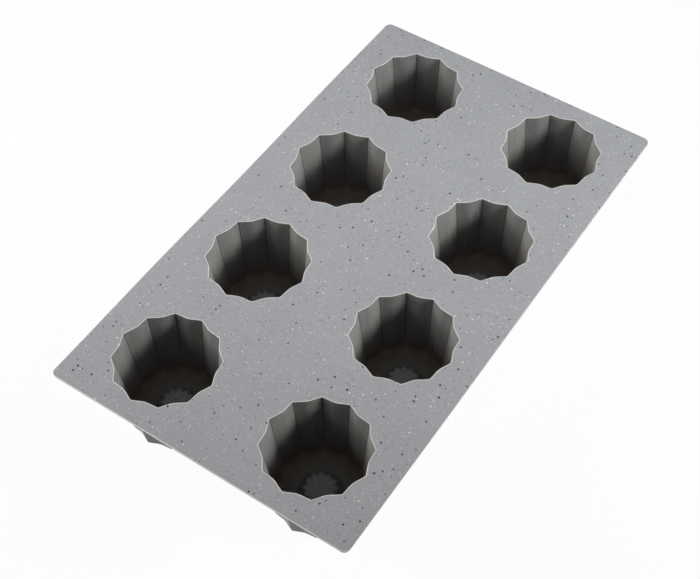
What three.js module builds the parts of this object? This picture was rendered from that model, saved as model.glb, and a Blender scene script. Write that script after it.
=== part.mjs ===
// A moulded silicone baking mould: a flat deck with two columns of four fluted cups hanging from it.
// Millimetres, +Z up. The origin is on the surface that the cups stand on, under the middle of the deck.
// X runs along the short side of the deck and Y along the long side.

import * as THREE from 'three';
import { mergeVertices } from 'three/addons/utils/BufferGeometryUtils.js';

// Deck: one flat sheet with rounded corners. Lands are the flat widths left round and between the mouths.
const DECK_THICKNESS = 2;
const DECK_CORNER_RADIUS = 4;
const END_LAND_WIDTH = 9.9;
const SIDE_LAND_WIDTH = 14.9;
const ROW_LAND_WIDTH = 19.8;
const COLUMN_LAND_WIDTH = 34.8;

// Cup pattern
const COLUMNS = 2;
const ROWS = 4;

// Cup: radii are to the sharp tips of the flutes, inside the wall
const FLUTES = 12;
const MOUTH_RADIUS = 27.6;
const FLUTE_DEPTH = 1.95;
const WALL = 2;
const WALL_TAPER = 0.11;
const OVERALL_HEIGHT = 47;

// Half the angle, in radians at the axis, over which the ridge in the middle of a flute is softened
const RIDGE_SOFTNESS = 0.12;

// Base: a cove at the foot of the wall, a round groove, and a raised star in the middle
const BASE_THICKNESS = 2;
const COVE_HEIGHT = 5.2;
const GROOVE_WIDTH = 3.9;
const STAR_RADIUS = 8.8;
const STAR_DEPTH = 2;
const STAR_RISE = 5.4;
const STAR_FLANK_WIDTH = 3.4;
const FOOT_ROUND = 2.6;

// Facets
const STEPS_PER_FLUTE = 4;
const COVE_STEPS = 3;
const ROUND_STEPS = 2;
const CORNER_STEPS = 6;

const SILICONE = { color: 0x9a9ca0, roughness: 0.62, metalness: 0 };

const ROW_PITCH = 2 * MOUTH_RADIUS + ROW_LAND_WIDTH;
const COLUMN_PITCH = 2 * MOUTH_RADIUS + COLUMN_LAND_WIDTH;
const DECK_LENGTH = (ROWS - 1) * ROW_PITCH + 2 * (MOUTH_RADIUS + END_LAND_WIDTH);
const DECK_WIDTH = (COLUMNS - 1) * COLUMN_PITCH + 2 * (MOUTH_RADIUS + SIDE_LAND_WIDTH);
const DECK_UNDERSIDE = OVERALL_HEIGHT - DECK_THICKNESS;
const POINTS_AROUND = FLUTES * STEPS_PER_FLUTE;

// Radius of a fluted outline at an angle. A flute's sides run in from its two sharp tips to a soft ridge
// half way between them, so the outline is farthest out at the tips and nearest in at the ridge.
function flutedRadius(tip, depth, angle) {
  const ridgeSide = (a) => Math.hypot(a, RIDGE_SOFTNESS) - RIDGE_SOFTNESS;
  const outwards = ridgeSide(angleFromRidge(angle)) / ridgeSide(Math.PI / FLUTES);
  return tip - depth * (1 - outwards);
}

// Angle from the middle of the flute that an angle falls in; the tips lie at whole flute pitches
function angleFromRidge(angle) {
  const pitch = (2 * Math.PI) / FLUTES;
  const turns = angle / pitch;
  return (turns - Math.floor(turns) - 0.5) * pitch;
}

// Closed fluted outline in the XY plane, anticlockwise
function flutedOutline(tip, depth, centreX = 0, centreY = 0) {
  const points = [];
  for (let i = 0; i < POINTS_AROUND; i += 1) {
    const angle = (2 * Math.PI * i) / POINTS_AROUND;
    const radius = flutedRadius(tip, depth, angle);
    points.push(new THREE.Vector2(centreX + radius * Math.cos(angle), centreY + radius * Math.sin(angle)));
  }
  return points;
}

// Closed solid through a stack of fluted rings. Each ring is { tip, depth, z }; the stack starts and
// ends on the axis, with tip 0, and runs so that the faces between two rings point outwards.
function loftRings(rings) {
  const positions = [];
  const index = [];
  for (const ring of rings) {
    for (let i = 0; i < POINTS_AROUND; i += 1) {
      const angle = (2 * Math.PI * i) / POINTS_AROUND;
      const radius = flutedRadius(ring.tip, ring.depth, angle);
      positions.push(radius * Math.cos(angle), radius * Math.sin(angle), ring.z);
    }
  }
  for (let k = 0; k + 1 < rings.length; k += 1) {
    for (let i = 0; i < POINTS_AROUND; i += 1) {
      const next = (i + 1) % POINTS_AROUND;
      const a = k * POINTS_AROUND + i;
      const b = k * POINTS_AROUND + next;
      const c = a + POINTS_AROUND;
      const d = b + POINTS_AROUND;
      if (rings[k].tip > 0) {
        index.push(a, b, c);
      }
      if (rings[k + 1].tip > 0) {
        index.push(b, d, c);
      }
    }
  }
  const geometry = new THREE.BufferGeometry();
  geometry.setAttribute('position', new THREE.Float32BufferAttribute(positions, 3));
  geometry.setIndex(index);
  const solid = mergeVertices(geometry);
  solid.computeVertexNormals();
  return solid;
}

// Rings down the inside of a cup, from the mouth under the deck to the middle of the star
function innerRings() {
  const grooveFloor = BASE_THICKNESS;
  const wallFoot = grooveFloor + COVE_HEIGHT;
  const footTip = MOUTH_RADIUS - WALL_TAPER * (DECK_UNDERSIDE - wallFoot);
  const footDepth = (FLUTE_DEPTH * footTip) / MOUTH_RADIUS;
  const grooveInner = STAR_RADIUS + STAR_FLANK_WIDTH;
  const coveWidth = footTip - footDepth - (grooveInner + GROOVE_WIDTH);
  const rings = [{ tip: MOUTH_RADIUS, depth: FLUTE_DEPTH, z: DECK_UNDERSIDE }];
  // The cove is a quarter ellipse from the foot of the wall to the groove; the flutes fade out along it
  for (let i = 0; i <= COVE_STEPS; i += 1) {
    const turn = (Math.PI / 2) * (i / COVE_STEPS);
    const fluteLeft = i < COVE_STEPS ? footDepth * Math.cos(turn) ** 2 : 0;
    const ridge = footTip - footDepth - coveWidth * (1 - Math.cos(turn));
    rings.push({ tip: ridge + fluteLeft, depth: fluteLeft, z: wallFoot - COVE_HEIGHT * Math.sin(turn) });
  }
  const starTop = grooveFloor + STAR_RISE;
  rings.push({ tip: grooveInner, depth: 0, z: grooveFloor });
  rings.push({ tip: STAR_RADIUS, depth: STAR_DEPTH, z: starTop });
  rings.push({ tip: 0, depth: 0, z: starTop });
  return rings;
}

// Rings up the outside of a cup, from the middle of the recess under the star to the deck
function outerRings() {
  const mouthTip = MOUTH_RADIUS + WALL;
  const footTip = mouthTip - WALL_TAPER * (DECK_UNDERSIDE - FOOT_ROUND);
  const footDepth = (FLUTE_DEPTH * footTip) / mouthTip;
  const recessRadius = STAR_RADIUS - STAR_DEPTH;
  // The recess follows the star from below, one base thickness under it
  const rings = [
    { tip: 0, depth: 0, z: STAR_RISE },
    { tip: recessRadius, depth: 0, z: STAR_RISE },
    { tip: recessRadius + STAR_FLANK_WIDTH, depth: 0, z: 0 },
  ];
  // The foot of the wall is rounded off to the flat ring that the cup stands on
  for (let i = 0; i <= ROUND_STEPS; i += 1) {
    const turn = (Math.PI / 2) * (i / ROUND_STEPS);
    rings.push({
      tip: footTip - FOOT_ROUND * (1 - Math.sin(turn)),
      depth: footDepth,
      z: FOOT_ROUND * (1 - Math.cos(turn)),
    });
  }
  rings.push({ tip: mouthTip, depth: FLUTE_DEPTH, z: DECK_UNDERSIDE });
  return rings;
}

function cupGeometry() {
  return loftRings([...outerRings(), ...innerRings()]);
}

// Flat sheet with rounded corners and a fluted hole over each cup
function deckGeometry(centres) {
  const halfX = DECK_WIDTH / 2;
  const halfY = DECK_LENGTH / 2;
  const r = DECK_CORNER_RADIUS;
  const sheet = new THREE.Shape();
  sheet.moveTo(halfX, -halfY + r);
  sheet.lineTo(halfX, halfY - r);
  sheet.absarc(halfX - r, halfY - r, r, 0, Math.PI / 2);
  sheet.lineTo(-halfX + r, halfY);
  sheet.absarc(-halfX + r, halfY - r, r, Math.PI / 2, Math.PI);
  sheet.lineTo(-halfX, -halfY + r);
  sheet.absarc(-halfX + r, -halfY + r, r, Math.PI, 1.5 * Math.PI);
  sheet.lineTo(halfX - r, -halfY);
  sheet.absarc(halfX - r, -halfY + r, r, 1.5 * Math.PI, 2 * Math.PI);
  for (const { x, y } of centres) {
    sheet.holes.push(new THREE.Path(flutedOutline(MOUTH_RADIUS, FLUTE_DEPTH, x, y).reverse()));
  }
  return new THREE.ExtrudeGeometry(sheet, {
    depth: DECK_THICKNESS,
    bevelEnabled: false,
    curveSegments: CORNER_STEPS,
  });
}

// Cup centres, named by column letter from -X and row number from -Y
function cupCentres() {
  const centres = [];
  for (let column = 0; column < COLUMNS; column += 1) {
    for (let row = 0; row < ROWS; row += 1) {
      centres.push({
        name: `cup_${String.fromCharCode(97 + column)}${row + 1}`,
        x: (column - (COLUMNS - 1) / 2) * COLUMN_PITCH,
        y: (row - (ROWS - 1) / 2) * ROW_PITCH,
      });
    }
  }
  return centres;
}

function addPiece(group, name, geometry, x, y, z) {
  const mesh = new THREE.Mesh(geometry, new THREE.MeshStandardMaterial(SILICONE));
  mesh.name = name;
  mesh.position.set(x, y, z);
  group.add(mesh);
}

function buildMould() {
  const mould = new THREE.Group();
  mould.name = 'fluted_baking_mould';
  const centres = cupCentres();
  addPiece(mould, 'deck', deckGeometry(centres), 0, 0, DECK_UNDERSIDE);
  for (const { name, x, y } of centres) {
    addPiece(mould, name, cupGeometry(), x, y, 0);
  }
  return mould;
}

export default buildMould();
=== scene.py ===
"""A speckled grey silicone baking mould with fluted cups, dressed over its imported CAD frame."""

import math

import bmesh
import bpy
import numpy as np
from mathutils import Matrix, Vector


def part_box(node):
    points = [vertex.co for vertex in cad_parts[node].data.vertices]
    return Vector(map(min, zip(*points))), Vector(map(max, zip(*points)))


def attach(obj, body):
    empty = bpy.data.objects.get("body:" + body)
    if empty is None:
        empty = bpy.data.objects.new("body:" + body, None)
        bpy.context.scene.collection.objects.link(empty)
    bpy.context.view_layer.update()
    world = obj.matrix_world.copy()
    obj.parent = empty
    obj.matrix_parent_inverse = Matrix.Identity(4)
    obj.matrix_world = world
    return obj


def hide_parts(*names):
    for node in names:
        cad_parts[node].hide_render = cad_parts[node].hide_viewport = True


bl_info = {
    "name": "Fluted Silicone Mould",
    "version": (1, 0, 0),
    "blender": (4, 5, 0),
    "location": "3D View > Sidebar > Mould",
    "description": "Builds a moulded silicone baking sheet with fluted cups and its studio",
    "category": "Add Mesh",
}

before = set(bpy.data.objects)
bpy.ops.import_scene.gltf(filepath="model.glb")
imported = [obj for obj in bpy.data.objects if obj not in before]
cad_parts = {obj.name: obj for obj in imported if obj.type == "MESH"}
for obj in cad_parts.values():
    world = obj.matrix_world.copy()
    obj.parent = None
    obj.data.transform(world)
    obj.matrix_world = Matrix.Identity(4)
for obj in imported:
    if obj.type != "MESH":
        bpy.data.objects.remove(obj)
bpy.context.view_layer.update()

MM = 0.001
COLUMN_NAMES = "ab"
ROW_NAMES = "1234"
DECK_LOW, DECK_HIGH = (np.array(corner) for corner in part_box("deck"))

# Flutes: the softness is the half angle, in radians, over which the ridge of a flute is rounded, and the
# rounding keeps each tip in its own flute
FLUTES = 12
FLUTE_PITCH = 2 * math.pi / FLUTES
RIDGE_SOFTNESS = 0.12
ANGLE_ROUNDING = 1e-9

# Points round a cup, and rings along each part of a cup, a mouth and the sheet
STEPS_PER_FLUTE = 16
POINTS_AROUND = FLUTES * STEPS_PER_FLUTE
ROOF_RINGS = 5
FLANK_RINGS = 13
STAND_RINGS = 6
TURN_RINGS = 9
OUTER_WALL_RINGS = 15
INNER_WALL_RINGS = 25
GROOVE_RINGS = 5
STAR_RINGS = 7
EDGE_RINGS = 7
MOUTH_WALL_RINGS = 5
PATCH_ROWS = 13

# Power by which the rows of a patch of sheet lie closer towards its mouth
PATCH_EASING = 1.3

# Joining the grids of a mesh, in metres, and the least angle of an edge that is shaded sharp
WELD_DISTANCE = 2e-6
SLIVER_LENGTH = 1e-7
SHARP_ANGLE = math.radians(35)

# Lift along the two long edges: side, turns in half the length, shift in half lengths, share of the lift
SHEET_WAVES = ((-1, 1.0, -0.30, 1.0), (1, 0.8, 0.15, 0.6))

# Zones of painted light on the mesh, in the order of the channels of the colour attribute that the material
# reads: painted highlight on the edges, painted shade inside the cups, painted shade in the groove and
# creases, and painted shade with a painted warm glow in the coves
ZONES = 4
EDGE_HIGHLIGHT_ZONE, INSIDE_SHADE_ZONE, HOLLOW_SHADE_ZONE, COVE_SHADE_GLOW_ZONE = range(ZONES)

# Shares of the painted highlight and painted shade on the lips, walls, coves, grooves and stars
LIP_HIGHLIGHT = 0.5
WALL_HOLLOW = 0.05
COVE_HOLLOW = 0.19
GROOVE_HOLLOW = 0.45
FOOT_COVE = 0.45
COVE_FADE = 0.4
STAR_INSIDE = 0.5

# The painted highlight line round a mouth ends at this many of its widths
LINE_END = 1.2

# Creases: share of painted hollow shade, half width, and the least radius of a wall as a share of the
# mouth's
CREASE_HOLLOW = 0.6
CREASE_WIDTH = math.radians(0.5)
LEAST_WALL = 0.6

# Patterns in the silicone: repeats in a metre, and how far each makes the colour vary. The length of a
# streak is in widths, and most of a noise lies between its low and high value
CLOUDS_PER_METRE, CLOUD_LEVEL = 38.0, 0.03
GRAINS_PER_METRE, GRAIN_LEVEL = 1500.0, 0.08
STREAKS_PER_METRE, STREAK_LEVEL = 800.0, 0.07
STREAK_LENGTH = 50.0
NOISE_LOW, NOISE_HIGH = 0.3, 0.7

# Flecks: smallest size and spread of sizes as shares of the radius, share of a fleck that is solid, and how
# strongly flecks show inside the cups
FLECK_SMALLEST = 0.6
FLECK_SPREAD = 0.8
FLECK_CORE = 0.55
FLECKS_INSIDE = 0.12

# Surface of the silicone
ROUGHNESS_LOW, ROUGHNESS_HIGH = 0.72, 0.82
SPECULAR_LEVEL = 0.2
BUMP_STRENGTH = 0.4
BUMP_HEIGHT = 0.05 * MM

# Floor: half its side, how far it lies under the feet, and the share of plain white that the camera sees
FLOOR_REACH = 4.0
FLOOR_GAP = 0.2 * MM
FLOOR_WHITE = 0.95


def cup_nodes():
    """Names of the CAD cups, column by column, nearest row first."""
    return [f"cup_{column}{row}" for column in COLUMN_NAMES for row in ROW_NAMES]


def cup_centre(node):
    """Plan centre of a cup, the middle of its CAD box."""
    low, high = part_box(node)
    return np.array([(low.x + high.x) / 2, (low.y + high.y) / 2])


# Settings

def length_property(name, description, millimetres):
    """Length that is given in millimetres and kept in metres."""
    return bpy.props.FloatProperty(
        name=name, description=description, default=millimetres * MM, unit="LENGTH", precision=5)


def colour_property(name, description, colour):
    """Colour in linear red, green and blue."""
    return bpy.props.FloatVectorProperty(
        name=name, description=description, default=colour, subtype="COLOR", min=0, max=1)


class MouldSizes(bpy.types.PropertyGroup):
    """Sizes of the moulding, in metres."""

    wall: length_property("Wall", "Thickness of the cup wall", 2)
    wall_taper: bpy.props.FloatProperty(
        name="Wall Taper", description="How far the wall leans in for each unit of depth", default=0.11)
    flute_depth: length_property("Flute Depth", "From tip to ridge at the mouth", 1.95)
    lip_round: length_property("Lip Round", "Radius of the rounded lip of a mouth", 0.3)
    # Width of the painted highlight line on the sheet round a mouth
    lip_line: length_property("Lip Line", "Width of the pale line on the sheet round a mouth", 0.2)
    edge_round: length_property("Edge Round", "Radius along the upper outer edge of the sheet", 0.3)
    edge_under: length_property("Edge Under", "Radius along the lower outer edge of the sheet", 1.2)
    corner_radius: length_property("Corner Radius", "Plan radius of the corners of the sheet", 3.2)
    under_fillet: length_property("Under Fillet", "Fillet between a cup and the sheet's underside", 0.3)
    base_thickness: length_property("Base Thickness", "Thickness of a cup's base", 2)
    cove_height: length_property("Cove Height", "Height of the cove at the foot of the wall", 5.2)
    groove_width: length_property("Groove Width", "Flat width of the groove about the star", 3.9)
    star_radius: length_property("Star Radius", "Radius to the points of the raised star", 8.8)
    star_depth: length_property("Star Depth", "From point to notch of the star", 2)
    star_rise: length_property("Star Rise", "Height of the star over the groove", 5.4)
    star_flank: length_property("Star Flank", "Plan width of the star's sloping flank", 3.4)
    foot_round: length_property("Foot Round", "Radius round the foot of a cup", 2.6)
    sheet_wave: length_property("Sheet Wave", "How far the soft sheet lifts and sags", 0.35)


class SiliconeColours(bpy.types.PropertyGroup):
    """Colours of the silicone and of the flecks in it, and of the painted shade, glow and highlight."""

    body: colour_property("Body", "Grey of the silicone", (0.330, 0.335, 0.350))
    # Inner: painted shade inside the cups, darker and tinted warmer than the body
    inner: colour_property("Inner", "Darker, warmer grey inside the cups", (0.189, 0.185, 0.179))
    # Cove: painted shade with a painted warm glow at the foot of the walls
    cove: colour_property("Cove", "Brownish grey at the foot of the walls", (0.110, 0.075, 0.056))
    # Hollow: painted shade in the groove about the star and in the creases
    hollow_shade: colour_property(
        "Hollow", "Dark grey in the groove about the star and in the creases", (0.035, 0.033, 0.032))
    # Edge: painted highlight along the lips of the mouths and on the short sides of the rim
    edge: colour_property("Edge", "Pale line along the lips and the trimmed edges", (0.86, 0.84, 0.78))
    dark_fleck: colour_property("Dark Fleck", "Charcoal flecks", (0.035, 0.037, 0.045))
    pale_fleck: colour_property("Pale Fleck", "Whitish flecks", (0.66, 0.66, 0.64))


class StudioSettings(bpy.types.PropertyGroup):
    """Light and floor of the studio."""

    floor: colour_property("Floor", "Colour of the pale floor", (0.86, 0.86, 0.86))
    light_level: bpy.props.FloatProperty(
        name="Light Level", description="Factor on the power of all the soft boxes", default=1.0)
    cool: colour_property("Cool Light", "Light of the cooler soft boxes", (0.96, 0.985, 1.0))
    warm: colour_property("Warm Light", "Light of the warmer soft boxes", (1.0, 0.99, 0.97))


# Shapes

def mouth_radius():
    """Radius to the flute tips inside a mouth: the CAD cup's outer radius less its wall."""
    low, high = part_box("cup_a1")
    return (high.x - low.x) / 2 - bpy.context.scene.mould_sizes.wall


def quarter_turn(rings):
    """Angles from nil to a right angle."""
    return np.linspace(0, math.pi / 2, rings)


def ease(t):
    """Smooth step from 0 to 1, level at both ends."""
    return t * t * (3 - 2 * t)


def flute_angles():
    """Angles round a cup. Tips lie at whole flute pitches, and a cosine step packs points beside them."""
    step = np.arange(STEPS_PER_FLUTE) / STEPS_PER_FLUTE
    within = (1 - np.cos(math.pi * step)) / 2
    return ((np.arange(FLUTES)[:, None] + within) * FLUTE_PITCH).ravel()


def fluted_radius(tip, depth, angles):
    """Radius of a fluted outline, one row for each ring.

    The sides of a flute run in from its two sharp tips to a soft ridge half way between them. With t the
    angle from the ridge, s the softness and h half a flute, the radius lies
    (sqrt(t^2 + s^2) - s) / (sqrt(h^2 + s^2) - s) of the way from ridge to tip.
    """
    tip = np.atleast_1d(tip)[:, None]
    depth = np.atleast_1d(depth)[:, None]
    turns = angles / FLUTE_PITCH
    from_ridge = (turns - np.floor(turns + ANGLE_ROUNDING) - 0.5) * FLUTE_PITCH
    outwards = np.hypot(from_ridge, RIDGE_SOFTNESS) - RIDGE_SOFTNESS
    outwards /= math.hypot(FLUTE_PITCH / 2, RIDGE_SOFTNESS) - RIDGE_SOFTNESS
    return tip - depth * (1 - outwards)


def rings_to_points(tip, depth, height, centre):
    """Grid of points, rings by angles, of fluted rings about a vertical axis."""
    angles = flute_angles()
    radius = fluted_radius(tip, depth, angles)
    grid = np.empty(radius.shape + (3,))
    grid[..., 0] = centre[0] + radius * np.cos(angles)
    grid[..., 1] = centre[1] + radius * np.sin(angles)
    grid[..., 2] = np.asarray(height)[:, None]
    return grid


def soft_sheet(points, wave):
    """Lets the sheet lie as soft silicone does.

    The lift is two slow sines along the sheet, one for each long edge, that grow from the middle to the
    edge. It fades out towards the floor, so the feet of the cups stay on it.
    """
    across = points[..., 0] / DECK_HIGH[0]
    along = points[..., 1] / DECK_HIGH[1]
    height = points[..., 2]
    lift = np.zeros_like(height)
    for side, turns, shift, share in SHEET_WAVES:
        lift += share * np.sin(2 * math.pi * turns * (along + shift)) * np.clip(side * across, 0, 1) ** 2
    lifted = points.copy()
    lifted[..., 2] = height + wave * lift * ease(np.clip(height / DECK_HIGH[2], 0, 1))
    return lifted


def wall_rings(sizes, height, mouth_tip):
    """Tip radius and flute depth of a straight wall that leans in from the top of the sheet down."""
    tip = mouth_tip - sizes.wall_taper * (DECK_HIGH[2] - height)
    return tip, sizes.flute_depth * tip / mouth_tip


def cup_profile(sizes):
    """Rings of a cup in six rows: tip radius, flute depth, height, and shares of painted shade: inside,
    hollow, cove.

    They run from the middle of the recess below, round the foot, up the outside to the sheet, then down the
    inside to the middle of the star. Wall: straight and leaning in. Foot and cove: quarter turns. Flanks of
    the star: a smooth step. The flutes fade out along the cove and grow again up the star. The painted
    inside shade covers the inside, with half its share on the star. The painted cove shade, with its
    painted warm glow, grows down the wall and into the cove, and eases off at the cove's end. The painted
    hollow shade grows down the wall, is most in the groove and nil on the star.
    """
    under = DECK_LOW[2]
    floor = sizes.base_thickness
    inner_foot = floor + sizes.cove_height
    inner_mouth = mouth_radius()
    outer_mouth = inner_mouth + sizes.wall
    foot_tip, foot_depth = wall_rings(sizes, sizes.foot_round, outer_mouth)
    wall_tip, wall_depth = wall_rings(sizes, inner_foot, inner_mouth)
    recess = sizes.star_radius - sizes.star_depth
    stand_in = recess + sizes.star_flank
    groove_in = sizes.star_radius + sizes.star_flank
    groove_out = groove_in + sizes.groove_width
    cove_width = wall_tip - wall_depth - groove_out
    pieces = []

    def add(tip, depth, height, inside=0.0, hollow_shade=0.0, cove=0.0):
        pieces.append(np.stack(np.broadcast_arrays(tip, depth, height, inside, hollow_shade, cove)))

    # Under the cup: recess roof, recess flank, flat ring to stand on
    add(recess * np.linspace(0, 1, ROOF_RINGS)[:-1], 0.0, sizes.star_rise)
    flank = np.linspace(0, 1, FLANK_RINGS)
    add(recess + sizes.star_flank * flank, 0.0, sizes.star_rise * (1 - ease(flank)))
    stand = np.linspace(0, 1, STAND_RINGS)[1:-1]
    add(stand_in + (foot_tip - sizes.foot_round - stand_in) * stand, foot_depth * stand, 0.0)

    # Outside: foot, wall, fillet under the sheet
    turn = quarter_turn(TURN_RINGS)
    add(foot_tip - sizes.foot_round * (1 - np.sin(turn)), foot_depth, sizes.foot_round * (1 - np.cos(turn)))
    turn = turn[1:]
    height = np.linspace(sizes.foot_round, under - sizes.under_fillet, OUTER_WALL_RINGS)[1:]
    add(*wall_rings(sizes, height, outer_mouth), height)
    fillet_tip, fillet_depth = wall_rings(sizes, under - sizes.under_fillet, outer_mouth)
    add(fillet_tip + sizes.under_fillet * (1 - np.cos(turn)), fillet_depth,
        under - sizes.under_fillet * (1 - np.sin(turn)))

    # Inside: wall, cove, groove, star flank, star top, with painted inside shade, painted hollow shade, and
    # the painted cove shade and glow
    height = np.linspace(under, inner_foot, INNER_WALL_RINGS)
    down = np.linspace(0, 1, INNER_WALL_RINGS) ** 2
    add(*wall_rings(sizes, height, inner_mouth), height, 1.0, WALL_HOLLOW * down, FOOT_COVE * down)
    inward = 1 - np.cos(turn)
    flute_left = wall_depth * np.cos(turn) ** 2
    add(wall_tip - wall_depth - cove_width * inward + flute_left, flute_left,
        inner_foot - sizes.cove_height * np.sin(turn), 1.0, WALL_HOLLOW + COVE_HOLLOW * inward ** 2,
        FOOT_COVE + (1 - FOOT_COVE) * np.sin(turn) - COVE_FADE * inward ** 2)
    groove = np.linspace(0, 1, GROOVE_RINGS)[1:]
    add(groove_out - sizes.groove_width * groove, 0.0, floor, 1.0, GROOVE_HOLLOW)
    flank = flank[1:]
    add(groove_in - sizes.star_flank * flank, sizes.star_depth * flank,
        floor + sizes.star_rise * ease(flank), 1.0, GROOVE_HOLLOW * (1 - flank ** 3))
    star = np.linspace(1, 0, STAR_RINGS)[1:]
    add(sizes.star_radius * star, sizes.star_depth * star, floor + sizes.star_rise, STAR_INSIDE)
    return np.concatenate(pieces, axis=1)


def cell_edges(node):
    """Sides of the patch of sheet about a cup: the X of two, then the Y of two, the lower one first."""
    centre = cup_centre(node)
    column, row = COLUMN_NAMES.index(node[-2]), ROW_NAMES.index(node[-1])
    row_pitch = cup_centre("cup_a2")[1] - cup_centre("cup_a1")[1]
    low_x = DECK_LOW[0] if column == 0 else 0.0
    high_x = 0.0 if column == 0 else DECK_HIGH[0]
    low_y = DECK_LOW[1] if row == 0 else centre[1] - row_pitch / 2
    high_y = DECK_HIGH[1] if row == len(ROW_NAMES) - 1 else centre[1] + row_pitch / 2
    return low_x, high_x, low_y, high_y


def cell_ring(node, inset, corner_radius):
    """Outline of the patch of sheet about a cup, one point for each flute angle.

    Each quadrant runs from the middle of one side to the corner, at half a right angle, and on to the next
    side; a sine step packs points into the corner. Sides on the edge of the sheet move in by the inset, and
    a corner of the sheet is turned into an arc.
    """
    centre = cup_centre(node)
    low_x, high_x, low_y, high_y = cell_edges(node)
    angles = flute_angles()
    cos, sin = np.cos(angles), np.sin(angles)
    diagonal = 45
    lean = np.degrees(np.arctan2(np.abs(sin), np.abs(cos)))
    on_side = lean <= diagonal
    fraction_x = np.where(on_side, 1.0, np.sin(math.pi / 2 * (2 * diagonal - lean) / diagonal))
    fraction_y = np.where(lean >= diagonal, 1.0, np.sin(math.pi / 2 * lean / diagonal))
    side_x = np.where(cos >= 0, high_x, low_x)
    side_y = np.where(sin >= 0, high_y, low_y)
    edge_x = np.isin(side_x, [DECK_LOW[0], DECK_HIGH[0]])
    edge_y = np.isin(side_y, [DECK_LOW[1], DECK_HIGH[1]])
    half_x = np.abs(side_x - centre[0]) - inset * edge_x
    half_y = np.abs(side_y - centre[1]) - inset * edge_y
    away_x, away_y = half_x * fraction_x, half_y * fraction_y
    # Distance past the start of the corner arc, on either side of the corner, and the turn along the arc
    radius = corner_radius - inset
    past = np.where(on_side, away_y - (half_y - radius), away_x - (half_x - radius))
    turn = math.pi / 4 * np.clip(past / radius, 0, 1)
    turn = np.where(on_side, turn, math.pi / 2 - turn)
    rounded = edge_x & edge_y & (past > 0)
    away_x = np.where(rounded, half_x - radius + radius * np.cos(turn), away_x)
    away_y = np.where(rounded, half_y - radius + radius * np.sin(turn), away_y)
    return np.stack([centre[0] + np.sign(cos) * away_x, centre[1] + np.sign(sin) * away_y], axis=1)


def sheet_outline(inset, corner_radius):
    """Closed outline of the whole sheet, anticlockwise, joined from the outer sides of the patches.

    Each side is a cup and the eighth of a turn at which the side starts.
    """
    eighth = POINTS_AROUND // 8
    sides = [("b" + row, -1) for row in ROW_NAMES]
    sides += [("b" + ROW_NAMES[-1], 1), ("a" + ROW_NAMES[-1], 1)]
    sides += [("a" + row, 3) for row in reversed(ROW_NAMES)]
    sides += [("a" + ROW_NAMES[0], 5), ("b" + ROW_NAMES[0], 5)]
    runs = []
    for name, start in sides:
        ring = cell_ring("cup_" + name, inset, corner_radius)
        runs.append(ring[(start * eighth + np.arange(2 * eighth)) % POINTS_AROUND])
    return np.concatenate(runs)


def patch_grid(node, sizes, inner_tip, depth, height, inset):
    """Flat patch of sheet, from a fluted mouth to the patch's outline, eased outwards row by row."""
    rows = np.linspace(0, 1, PATCH_ROWS)[:, None, None] ** PATCH_EASING
    mouth = rings_to_points(inner_tip, depth, [height], cup_centre(node))[0]
    outline = cell_ring(node, inset, sizes.corner_radius)
    outer = np.column_stack([outline, np.full(len(outline), height)])
    return mouth + (outer - mouth) * rows


def paint_crease_shade(zones, tip):
    """Zones of fluted rings at each point, from zones of whole rings.

    Inside, the sharp creases of the wall get painted hollow shade too. The rings of the star are too small
    to be wall, and the creases fade out where the cove begins.
    """
    wall = zones[:, INSIDE_SHADE_ZONE] * np.clip(1 - 2 * zones[:, COVE_SHADE_GLOW_ZONE], 0, 1)
    wall *= tip > LEAST_WALL * mouth_radius()
    turns = flute_angles() / FLUTE_PITCH
    from_tip = np.abs(turns - np.round(turns)) * FLUTE_PITCH
    crease = CREASE_HOLLOW * (from_tip < CREASE_WIDTH)
    full = np.repeat(zones[:, None], POINTS_AROUND, axis=1)
    full[..., HOLLOW_SHADE_ZONE] = np.maximum(full[..., HOLLOW_SHADE_ZONE], wall[:, None] * crease)
    return full


def mouth_rings(sizes):
    """Rings of a mouth: tip radius, flute depth, height, and zones at each point.

    They run over a line of painted highlight on the sheet, a quarter turn into the mouth, then down the
    wall to the underside. The first ring is plain sheet, the rings as far as half the turn carry the
    painted highlight, and the rest carry the painted inside shade, with painted hollow shade in the
    creases.
    """
    mouth_tip = mouth_radius()
    top, under = DECK_HIGH[2], DECK_LOW[2]
    turn = quarter_turn(EDGE_RINGS)
    lip_start = mouth_tip + sizes.lip_round
    line_tip = lip_start + sizes.lip_line * np.array([LINE_END, 1.0])
    lip_tip = lip_start - sizes.lip_round * np.sin(turn)
    lip_height = top - sizes.lip_round * (1 - np.cos(turn))
    wall_height = np.linspace(top - sizes.lip_round, under, MOUTH_WALL_RINGS)[1:]
    wall_tip = wall_rings(sizes, wall_height, mouth_tip)[0]
    tip = np.concatenate([line_tip, lip_tip, wall_tip])
    height = np.concatenate([np.full(len(line_tip), top), lip_height, wall_height])
    depth = sizes.flute_depth * np.minimum(tip / mouth_tip, 1)
    zones = np.zeros((len(tip), ZONES))
    inside_start = len(line_tip) + EDGE_RINGS // 2 + 1
    zones[1:inside_start, EDGE_HIGHLIGHT_ZONE] = LIP_HIGHLIGHT
    zones[inside_start:, INSIDE_SHADE_ZONE] = 1
    return tip, depth, height, paint_crease_shade(zones, tip)


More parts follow.
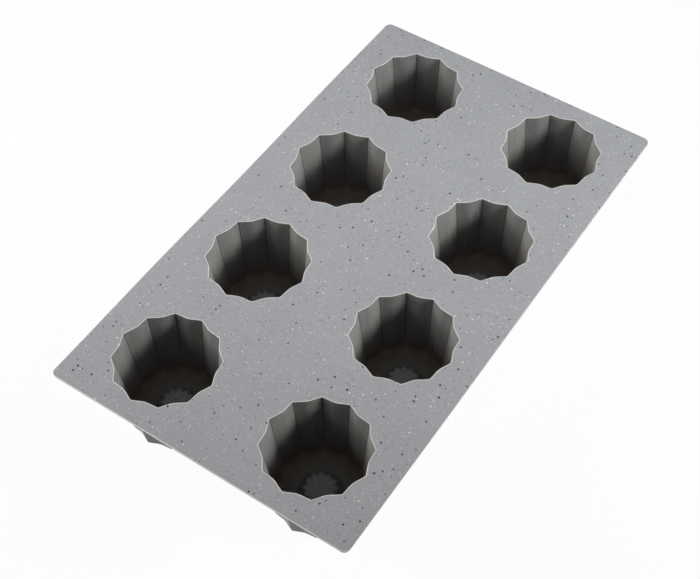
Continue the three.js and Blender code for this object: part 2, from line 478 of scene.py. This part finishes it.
def rim_grid(sizes):
    """Grid of points down the rim of the sheet, and its zones.

    Rim: a quarter turn from the top of the sheet, straight down, and a quarter turn in to the underside.
    A painted highlight lies on the rim along the short sides. It fades round the corners and under the
    sheet.
    """
    cos, sin = np.cos(quarter_turn(EDGE_RINGS)), np.sin(quarter_turn(EDGE_RINGS))
    insets = np.concatenate([sizes.edge_round * (1 - sin), sizes.edge_under * (1 - cos)])
    upper_height = DECK_HIGH[2] - sizes.edge_round * (1 - cos)
    lower_height = DECK_LOW[2] + sizes.edge_under * (1 - sin)
    outlines = np.stack([sheet_outline(inset, sizes.corner_radius) for inset in insets])
    rim = np.empty(outlines.shape[:2] + (3,))
    rim[..., :2] = outlines
    rim[..., 2] = np.concatenate([upper_height, lower_height])[:, None]
    zones = np.zeros(rim.shape[:2] + (ZONES,))
    # Painted highlight on the short sides, over the upper rounding and down the straight side, fading under
    # the sheet
    short_side = np.clip((np.abs(rim[..., 1]) - DECK_HIGH[1]) / sizes.corner_radius + 1, 0, 1)
    upper = np.concatenate([np.sign(sin), np.clip(1 - 2 * sin, 0, 1)])
    zones[..., EDGE_HIGHLIGHT_ZONE] = short_side * upper[:, None]
    return rim, zones


def mesh_from_grids(name, grids, wave):
    """Mesh of several grids of points, each closed on itself along its second side, welded where they meet.

    Each grid comes with its zones of painted shade and painted highlight, at each point, in each row or for
    the whole grid. They are kept as a colour attribute for the material.
    """
    points, shares, quads, start = [], [], [], 0
    for grid, zones in grids:
        rows, columns = grid.shape[:2]
        shares.append(np.broadcast_to(zones, (rows, columns, ZONES)).reshape(-1, ZONES))
        index = start + np.arange(rows * columns).reshape(rows, columns)
        around = np.roll(index, -1, axis=1)
        quads.append(np.stack([index[:-1], around[:-1], around[1:], index[1:]], axis=-1).reshape(-1, 4))
        points.append(grid.reshape(-1, 3))
        start += rows * columns
    points = soft_sheet(np.concatenate(points), wave)
    quads = np.concatenate(quads)
    mesh = bpy.data.meshes.new(name)
    mesh.vertices.add(len(points))
    mesh.vertices.foreach_set("co", points.ravel())
    mesh.loops.add(quads.size)
    mesh.loops.foreach_set("vertex_index", quads.ravel())
    mesh.polygons.add(len(quads))
    mesh.polygons.foreach_set("loop_start", np.arange(0, quads.size, 4))
    mesh.update(calc_edges=True)
    layer = mesh.attributes.new("zones", "FLOAT_COLOR", "POINT")
    layer.data.foreach_set("color", np.concatenate(shares).ravel())
    work = bmesh.new()
    work.from_mesh(mesh)
    bmesh.ops.remove_doubles(work, verts=work.verts, dist=WELD_DISTANCE)
    bmesh.ops.dissolve_degenerate(work, edges=work.edges, dist=SLIVER_LENGTH)
    bmesh.ops.recalc_face_normals(work, faces=work.faces)
    work.to_mesh(mesh)
    work.free()
    mesh.polygons.foreach_set("use_smooth", np.ones(len(mesh.polygons), dtype=bool))
    mesh.set_sharp_from_angle(angle=SHARP_ANGLE)
    mesh.update()
    return mesh


def place_piece(name, mesh, material, node):
    """Puts a finished mesh into the scene in place of its CAD node."""
    mesh.materials.append(material)
    piece = bpy.data.objects.new(name, mesh)
    bpy.context.scene.collection.objects.link(piece)
    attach(piece, "root")
    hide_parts(node)


# Finishes

def new_group(name, inputs, outputs):
    """Empty shader node group with its sockets, and its input and output nodes."""
    group = bpy.data.node_groups.new(name, "ShaderNodeTree")
    for label, kind, default in inputs:
        socket = group.interface.new_socket(label, in_out="INPUT", socket_type=kind)
        if default is not None:
            socket.default_value = default
    for label, kind in outputs:
        group.interface.new_socket(label, in_out="OUTPUT", socket_type=kind)
    return group, group.nodes.new("NodeGroupInput"), group.nodes.new("NodeGroupOutput")


def add_node(tree, kind, settings=None, **values):
    """New node with its settings, and its input sockets set to values or linked from other sockets.

    A socket is named by its label, with underscores for spaces, or by i and its number.
    """
    node = tree.nodes.new(kind)
    for key, value in (settings or {}).items():
        setattr(node, key, value)
    for key, value in values.items():
        label = key.replace("_", " ")
        sockets = [s for s in node.inputs if s.name == label and s.enabled]
        socket = sockets[0] if sockets else node.inputs[int(key[1:])]
        if isinstance(value, bpy.types.NodeSocket):
            tree.links.new(value, socket)
        else:
            socket.default_value = value
    return node


def math_node(tree, operation, first, second=0.0, third=0.0):
    """Result of one sum on values or sockets."""
    settings = {"operation": operation}
    return add_node(tree, "ShaderNodeMath", settings, i0=first, i1=second, i2=third).outputs[0]


def vector_node(tree, operation, first, second):
    """Result of one sum on two vectors or sockets."""
    return add_node(tree, "ShaderNodeVectorMath", {"operation": operation}, i0=first, i1=second).outputs[0]


def mix_colour(tree, amount, first, second):
    """Colour between two colours or sockets."""
    node = add_node(tree, "ShaderNodeMix", {"data_type": "RGBA"}, i0=amount, i6=first, i7=second)
    return node.outputs[2]


def noise_value(tree, place, per_metre, detail, roughness):
    """Noise value at a place."""
    node = add_node(tree, "ShaderNodeTexNoise", Vector=place, Scale=per_metre, Detail=detail,
                    Roughness=roughness)
    return node.outputs["Fac"]


def spread(tree, noise, low, high):
    """A noise value, which seldom leaves its middle range, spread from low to high."""
    return add_node(tree, "ShaderNodeMapRange", Value=noise, From_Min=NOISE_LOW, From_Max=NOISE_HIGH,
                    To_Min=low, To_Max=high).outputs[0]


def inside_value(tree, inside, value):
    """Value that is 1 on the sheet and another value, or socket, inside the cups."""
    return add_node(tree, "ShaderNodeMapRange", Value=inside, To_Min=1.0, To_Max=value).outputs[0]


def fleck_group():
    """Flecks set in the silicone: a share of the cells of a 3D Voronoi pattern hold a small ball each."""
    group, source, target = new_group(
        "Flecks",
        [("Vector", "NodeSocketVector", None), ("Cells per Metre", "NodeSocketFloat", 300.0),
         ("Radius", "NodeSocketFloat", 0.12), ("Share", "NodeSocketFloat", 0.5)],
        [("Mask", "NodeSocketFloat")])
    cells = add_node(group, "ShaderNodeTexVoronoi", {"voronoi_dimensions": "3D", "feature": "F1"},
                     Vector=source.outputs["Vector"], Scale=source.outputs["Cells per Metre"])
    chance = add_node(group, "ShaderNodeSeparateColor", Color=cells.outputs["Color"]).outputs
    scale = math_node(group, "MULTIPLY_ADD", chance["Red"], FLECK_SPREAD, FLECK_SMALLEST)
    radius = math_node(group, "MULTIPLY", source.outputs["Radius"], scale)
    core = math_node(group, "MULTIPLY", radius, FLECK_CORE)
    inside = add_node(group, "ShaderNodeMapRange", {"interpolation_type": "SMOOTHSTEP"},
                      Value=cells.outputs["Distance"], From_Min=radius, From_Max=core)
    chosen = math_node(group, "LESS_THAN", chance["Green"], source.outputs["Share"])
    mask = math_node(group, "MULTIPLY", inside.outputs[0], chosen)
    group.links.new(mask, target.inputs["Mask"])
    return group


def silicone_material():
    """Matt speckled silicone, made once for all pieces.

    The zones of the mesh set the ground colour: painted shade inside the cups and in the groove and
    creases, painted shade with a painted warm glow at the foot of the walls, and a painted highlight along
    the lips and the short sides of the rim. Clouds, fine grain and, inside the cups, upright streaks vary
    it, and flecks of two sizes and two colours lie in it. The bump is the fine grain that the tool leaves.
    """
    found = bpy.data.materials.get("speckled_silicone")
    if found:
        return found
    colours = bpy.context.scene.silicone_colours
    names = ("body", "inner", "cove", "hollow_shade", "edge", "dark_fleck", "pale_fleck")
    body, inner, cove, hollow_shade, edge, dark, pale = ((*getattr(colours, name), 1) for name in names)
    material = bpy.data.materials.new("speckled_silicone")
    material.use_nodes = True
    tree = material.node_tree
    shader = tree.nodes["Principled BSDF"]
    place = add_node(tree, "ShaderNodeTexCoord").outputs["Object"]
    zones = add_node(tree, "ShaderNodeAttribute", {"attribute_name": "zones"})
    share = add_node(tree, "ShaderNodeSeparateColor", Color=zones.outputs["Color"]).outputs
    edge_highlight_share, inside_shade_share, hollow_shade_share = share["Red"], share["Green"], share["Blue"]

    # Painted shade: darker and warmer inside the cups, painted shade and warm glow at the foot of the
    # walls, and darkest in the groove and creases
    ground = mix_colour(tree, inside_shade_share, body, inner)
    ground = mix_colour(tree, zones.outputs["Alpha"], ground, cove)
    ground = mix_colour(tree, hollow_shade_share, ground, hollow_shade)
    upright = vector_node(tree, "MULTIPLY", place, (1, 1, 1 / STREAK_LENGTH))
    streak = noise_value(tree, upright, STREAKS_PER_METRE, detail=2.0, roughness=0.5)
    cloud = noise_value(tree, place, CLOUDS_PER_METRE, detail=3.0, roughness=0.55)
    grain = noise_value(tree, place, GRAINS_PER_METRE, detail=2.0, roughness=0.6)
    streaks = inside_value(tree, inside_shade_share, spread(tree, streak, 1 - STREAK_LEVEL, 1 + STREAK_LEVEL))
    clouds = spread(tree, cloud, 1 - CLOUD_LEVEL, 1 + CLOUD_LEVEL)
    grains = spread(tree, grain, 1 - GRAIN_LEVEL, 1 + GRAIN_LEVEL)
    level = math_node(tree, "MULTIPLY", math_node(tree, "MULTIPLY", clouds, grains), streaks)
    tinted = add_node(tree, "ShaderNodeVectorMath", {"operation": "SCALE"}, i0=ground, Scale=level)
    colour = tinted.outputs[0]

    # Flecks: colour, shift of the pattern, cells per metre, radius in cells, share of cells, strength
    layers = (
        (dark, 0.31, 640.0, 0.22, 0.30, 0.55),
        (pale, 0.73, 600.0, 0.22, 0.55, 0.58),
        (dark, 1.17, 330.0, 0.185, 0.33, 1.00),
        (pale, 1.61, 330.0, 0.17, 0.22, 0.88),
    )
    flecks = fleck_group()
    showing = inside_value(tree, inside_shade_share, FLECKS_INSIDE)
    for fleck, shift, cells, radius, portion, strength in layers:
        moved = vector_node(tree, "ADD", place, (shift, shift, shift))
        layer = add_node(tree, "ShaderNodeGroup", {"node_tree": flecks}, Vector=moved,
                         Cells_per_Metre=cells, Radius=radius, Share=portion)
        amount = math_node(tree, "MULTIPLY", layer.outputs["Mask"], strength)
        colour = mix_colour(tree, math_node(tree, "MULTIPLY", amount, showing), colour, fleck)
    # Painted highlight along the lips and on the short sides of the rim
    colour = mix_colour(tree, edge_highlight_share, colour, edge)

    relief = add_node(tree, "ShaderNodeBump", Strength=BUMP_STRENGTH, Distance=BUMP_HEIGHT, Height=grain)
    tree.links.new(colour, shader.inputs["Base Color"])
    tree.links.new(spread(tree, cloud, ROUGHNESS_LOW, ROUGHNESS_HIGH), shader.inputs["Roughness"])
    tree.links.new(relief.outputs["Normal"], shader.inputs["Normal"])
    shader.inputs["Specular IOR Level"].default_value = SPECULAR_LEVEL
    return material


def seen_ray(tree):
    """1 for a ray from the camera, off gloss or through glass, and 0 for a ray that carries light."""
    path = add_node(tree, "ShaderNodeLightPath").outputs
    gloss = math_node(tree, "MAXIMUM", path["Is Glossy Ray"], path["Is Transmission Ray"])
    return math_node(tree, "MAXIMUM", path["Is Camera Ray"], gloss)


def floor_material(colour):
    """Pale matt floor that the camera, and rays off gloss, see as nearly white with a faint shadow.

    It has an upper side only, so the underside of the mould can be looked at from below.
    """
    material = bpy.data.materials.new("pale_floor")
    material.use_nodes = True
    material.cycles.emission_sampling = "NONE"
    tree = material.node_tree
    tree.nodes.clear()
    matt = add_node(tree, "ShaderNodeBsdfDiffuse", Color=(*colour, 1))
    clear = add_node(tree, "ShaderNodeBsdfTransparent")
    below = add_node(tree, "ShaderNodeNewGeometry").outputs["Backfacing"]
    white = add_node(tree, "ShaderNodeEmission", Color=(1, 1, 1, 1), Strength=1.0)
    share = math_node(tree, "MULTIPLY", seen_ray(tree), FLOOR_WHITE)
    upper = add_node(tree, "ShaderNodeMixShader", i0=share, i1=matt.outputs[0], i2=white.outputs[0])
    both = add_node(tree, "ShaderNodeMixShader", i0=below, i1=upper.outputs[0], i2=clear.outputs[0])
    add_node(tree, "ShaderNodeOutputMaterial", Surface=both.outputs[0])
    return material


# Studio

def direction(azimuth, elevation):
    """Unit vector at an azimuth from +X, towards +Y, and an elevation, in radians."""
    return np.array([math.cos(azimuth) * math.cos(elevation), math.sin(azimuth) * math.cos(elevation),
                     math.sin(elevation)])


def add_posed(name, data, right, back, position):
    """Puts a lamp or a camera into the scene, from its right and backward directions and its position."""
    matrix = np.eye(4)
    matrix[:3] = np.stack([right, np.cross(back, right), back, position], axis=1)
    posed = bpy.data.objects.new(name, data)
    bpy.context.scene.collection.objects.link(posed)
    posed.matrix_world = Matrix(matrix.tolist())
    return posed


def add_soft_box(name, azimuth, elevation, distance, size, aim_x, aim_y, beam, power, colour):
    """Square area light about the middle of the sheet, facing a point of the sheet.

    The angles are in degrees, and azimuth 0 is +X and 90 is +Y. The distance and size are in metres, the
    aim is in millimetres, the beam is the full angle of the light's cone, and the power is in watts.
    """
    place = direction(math.radians(azimuth), math.radians(elevation)) * distance
    back = place - (aim_x * MM, aim_y * MM, 0)
    back /= np.linalg.norm(back)
    right = np.cross((0, 0, 1), back)
    right /= np.linalg.norm(right)
    light = bpy.data.lights.new(name, "AREA")
    light.shape = "SQUARE"
    light.size = size
    light.spread = math.radians(beam)
    light.energy = power * bpy.context.scene.studio_settings.light_level
    light.color = colour
    add_posed(name, light, right, back, place + (0, 0, DECK_HIGH[2]))


def add_camera():
    """Camera at the photograph's viewing angle.

    It stands at an azimuth from -Y, an elevation and a distance about a point of the sheet, and is rolled.
    The focal length and the place of the optical axis are in pixels of the picture.
    """
    azimuth, elevation, roll = (math.radians(angle) for angle in (32.597, 53.397, 0.588))
    distance = 677.43 * MM
    target = np.array([27.56 * MM, -13.68 * MM, DECK_HIGH[2]])
    focal_pixels, image_width, optical_axis_x = 1325.77, 700, 400.5
    back = direction(azimuth - math.pi / 2, elevation)
    level = np.array([math.cos(azimuth), math.sin(azimuth), 0])
    right = math.cos(roll) * level + math.sin(roll) * np.cross(back, level)
    data = bpy.data.cameras.new("camera")
    data.sensor_width = 36
    data.lens = data.sensor_width * focal_pixels / image_width
    data.shift_x = (image_width / 2 - optical_axis_x) / image_width
    data.clip_start = 10 * MM
    bpy.context.scene.camera = add_posed("camera", data, right, back, target + back * distance)


def add_floor(colour):
    """Square of floor, a hair under the feet of the cups."""
    mesh = bpy.data.meshes.new("floor")
    signs = ((-1, -1), (1, -1), (1, 1), (-1, 1))
    corners = [(x * FLOOR_REACH, y * FLOOR_REACH, -FLOOR_GAP) for x, y in signs]
    mesh.from_pydata(corners, [], [(0, 1, 2, 3)])
    mesh.materials.append(floor_material(colour))
    floor = bpy.data.objects.new("floor", mesh)
    bpy.context.scene.collection.objects.link(floor)


def set_world():
    """Plain white where the camera, or a ray off gloss, looks past the floor; no light on the object."""
    world = bpy.data.worlds.new("studio")
    world.use_nodes = True
    tree = world.node_tree
    tree.nodes.clear()
    white = add_node(tree, "ShaderNodeBackground", Color=(1, 1, 1, 1), Strength=seen_ray(tree))
    add_node(tree, "ShaderNodeOutputWorld", Surface=white.outputs[0])
    bpy.context.scene.world = world


# Operators

class MOULD_OT_deck(bpy.types.Operator):
    """Make the flat sheet with its fluted mouths"""

    bl_idname = "mould.make_deck"
    bl_label = "Make Deck"

    def execute(self, context):
        sizes = context.scene.mould_sizes
        tip, depth, height, mouth_zones = mouth_rings(sizes)
        above_zones = np.zeros(ZONES)
        # The first row of the underside meets the inside of the mouth, and carries its painted inside shade
        below_zones = np.zeros((PATCH_ROWS, 1, ZONES))
        below_zones[0, 0, INSIDE_SHADE_ZONE] = 1
        grids = []
        for node in cup_nodes():
            above = patch_grid(node, sizes, tip[0], depth[0], height[0], sizes.edge_round)
            below = patch_grid(node, sizes, tip[-1], depth[-1], height[-1], sizes.edge_under)
            mouth = rings_to_points(tip, depth, height, cup_centre(node))
            grids += [(above, above_zones), (below, below_zones), (mouth, mouth_zones)]
        grids.append(rim_grid(sizes))
        mesh = mesh_from_grids("deck_sheet", grids, sizes.sheet_wave)
        place_piece("deck_sheet", mesh, silicone_material(), "deck")
        return {"FINISHED"}


class MOULD_OT_cups(bpy.types.Operator):
    """Make the fluted cups that hang from the sheet"""

    bl_idname = "mould.make_cups"
    bl_label = "Make Cups"

    def execute(self, context):
        sizes = context.scene.mould_sizes
        tip, depth, height, inside, hollow_shade, cove = cup_profile(sizes)
        zones = paint_crease_shade(np.stack([np.zeros_like(inside), inside, hollow_shade, cove], axis=1), tip)
        for node in cup_nodes():
            grid = rings_to_points(tip, depth, height, cup_centre(node))
            mesh = mesh_from_grids(node + "_shell", [(grid, zones)], sizes.sheet_wave)
            place_piece(node + "_shell", mesh, silicone_material(), node)
        return {"FINISHED"}


class MOULD_OT_stage(bpy.types.Operator):
    """Set up the floor, the soft boxes and the camera"""

    bl_idname = "mould.set_stage"
    bl_label = "Set Stage"

    def execute(self, context):
        studio = context.scene.studio_settings
        add_floor(studio.floor)
        set_world()
        # A low ring of soft boxes lights the sheet and the upper walls of the cups, the near corner least.
        # Each has its azimuth, elevation, distance, size, aim in X and Y, beam, power and colour
        add_soft_box("right_box", 19, 19, 0.85, 0.15, 15, -60, 95, 0.68, studio.warm)
        add_soft_box("right_high_box", 8, 23, 0.80, 0.10, -10, -25, 85, 0.41, studio.warm)
        add_soft_box("left_box", 207, 19, 0.90, 0.25, -30, 25, 80, 0.89, studio.warm)
        add_soft_box("left_high_box", 222, 32, 1.50, 0.45, 35, -45, 90, 1.60, studio.warm)
        add_soft_box("far_left_box", 181, 14, 0.85, 0.30, -55, 25, 85, 0.80, studio.cool)
        add_soft_box("far_box", 57, 13, 1.35, 0.40, 25, 125, 28, 0.27, studio.cool)
        add_soft_box("far_right_box", 21, 24, 0.80, 0.25, -5, 105, 50, 0.25, studio.cool)
        # Weaker ones from higher up even out the light on the sheet
        add_soft_box("near_box", 270, 75, 1.50, 0.20, -145, 155, 32, 0.07, studio.warm)
        add_soft_box("back_box", 37, 45, 0.80, 0.20, -150, 170, 48, 0.05, studio.cool)
        add_soft_box("top_box", 0, 88, 1.50, 0.20, 20, -60, 40, 0.055, studio.cool)
        add_camera()
        context.scene.view_settings.view_transform = "Standard"
        return {"FINISHED"}


class MOULD_PT_panel(bpy.types.Panel):
    """Sizes, colours and steps of the mould"""

    bl_idname = "MOULD_PT_panel"
    bl_label = "Fluted Silicone Mould"
    bl_space_type = "VIEW_3D"
    bl_region_type = "UI"
    bl_category = "Mould"

    def draw(self, context):
        scene = context.scene
        for settings in (scene.mould_sizes, scene.silicone_colours, scene.studio_settings):
            box = self.layout.box()
            for name in settings.__annotations__:
                box.prop(settings, name)
        for operator in (MOULD_OT_deck, MOULD_OT_cups, MOULD_OT_stage):
            self.layout.operator(operator.bl_idname)


CLASSES = (MouldSizes, SiliconeColours, StudioSettings, MOULD_OT_deck, MOULD_OT_cups, MOULD_OT_stage,
           MOULD_PT_panel)


def register():
    for cls in CLASSES:
        bpy.utils.register_class(cls)
    bpy.types.Scene.mould_sizes = bpy.props.PointerProperty(type=MouldSizes)
    bpy.types.Scene.silicone_colours = bpy.props.PointerProperty(type=SiliconeColours)
    bpy.types.Scene.studio_settings = bpy.props.PointerProperty(type=StudioSettings)


def unregister():
    del bpy.types.Scene.mould_sizes
    del bpy.types.Scene.silicone_colours
    del bpy.types.Scene.studio_settings
    for cls in reversed(CLASSES):
        bpy.utils.unregister_class(cls)


def main():
    """Registers the classes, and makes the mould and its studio."""
    register()
    bpy.ops.mould.make_deck()
    bpy.ops.mould.make_cups()
    bpy.ops.mould.set_stage()
    bpy.context.view_layer.update()


if __name__ == "__main__":
    main()
